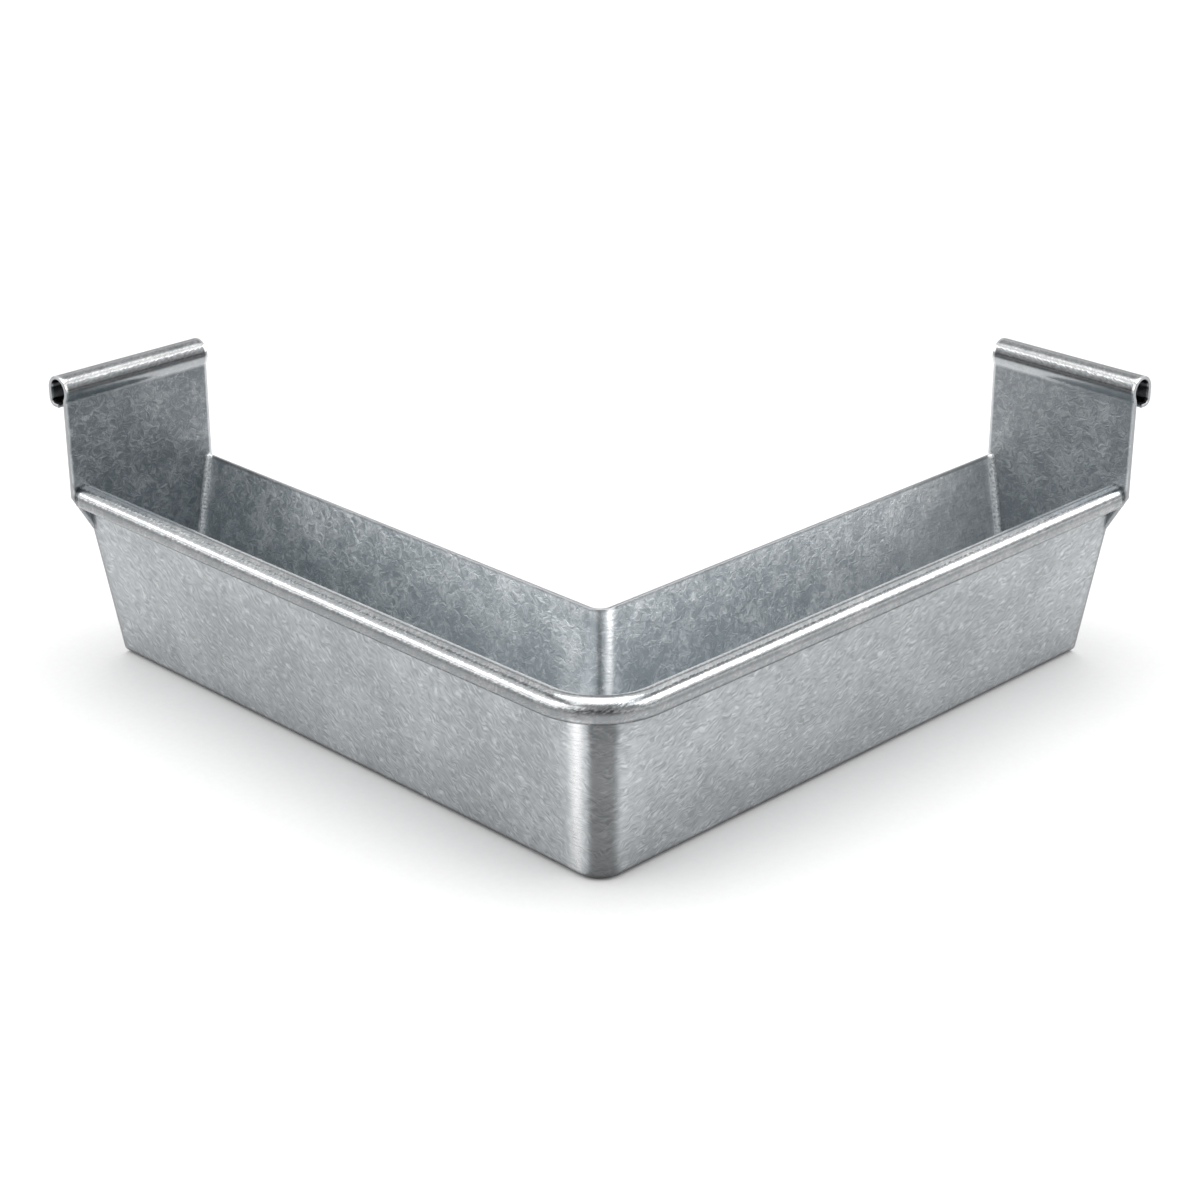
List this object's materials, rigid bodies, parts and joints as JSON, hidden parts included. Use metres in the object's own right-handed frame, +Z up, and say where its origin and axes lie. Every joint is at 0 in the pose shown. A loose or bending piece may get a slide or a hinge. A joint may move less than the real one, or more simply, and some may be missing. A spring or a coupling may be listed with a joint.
{
  "type": "gutter external angle",
  "caption": "L-shaped galvanised steel gutter corner with a rolled front bead, leaning walls and tall end plates rolled into outward hooks.",
  "frame": {"origin": "on the underside of the sole, on the upright axis of the outer bend", "axes": "+X along one arm, +Y along the other arm, +Z up out of the open trough"},
  "size_m": [0.4229, 0.4229, 0.1705],
  "materials": {
    "galvanised_sheet": "hot-dip galvanised, satin, with a fine spangle",
    "galvanised_weld": "weld bead under zinc, pitted and bright"
  },
  "bodies": {
    "root": {"trough": "galvanised_sheet", "right_end_plate": "galvanised_sheet", "left_end_plate": "galvanised_sheet", "right_weld_seam": "galvanised_weld", "left_weld_seam": "galvanised_weld"}
  },
  "joints": []
}
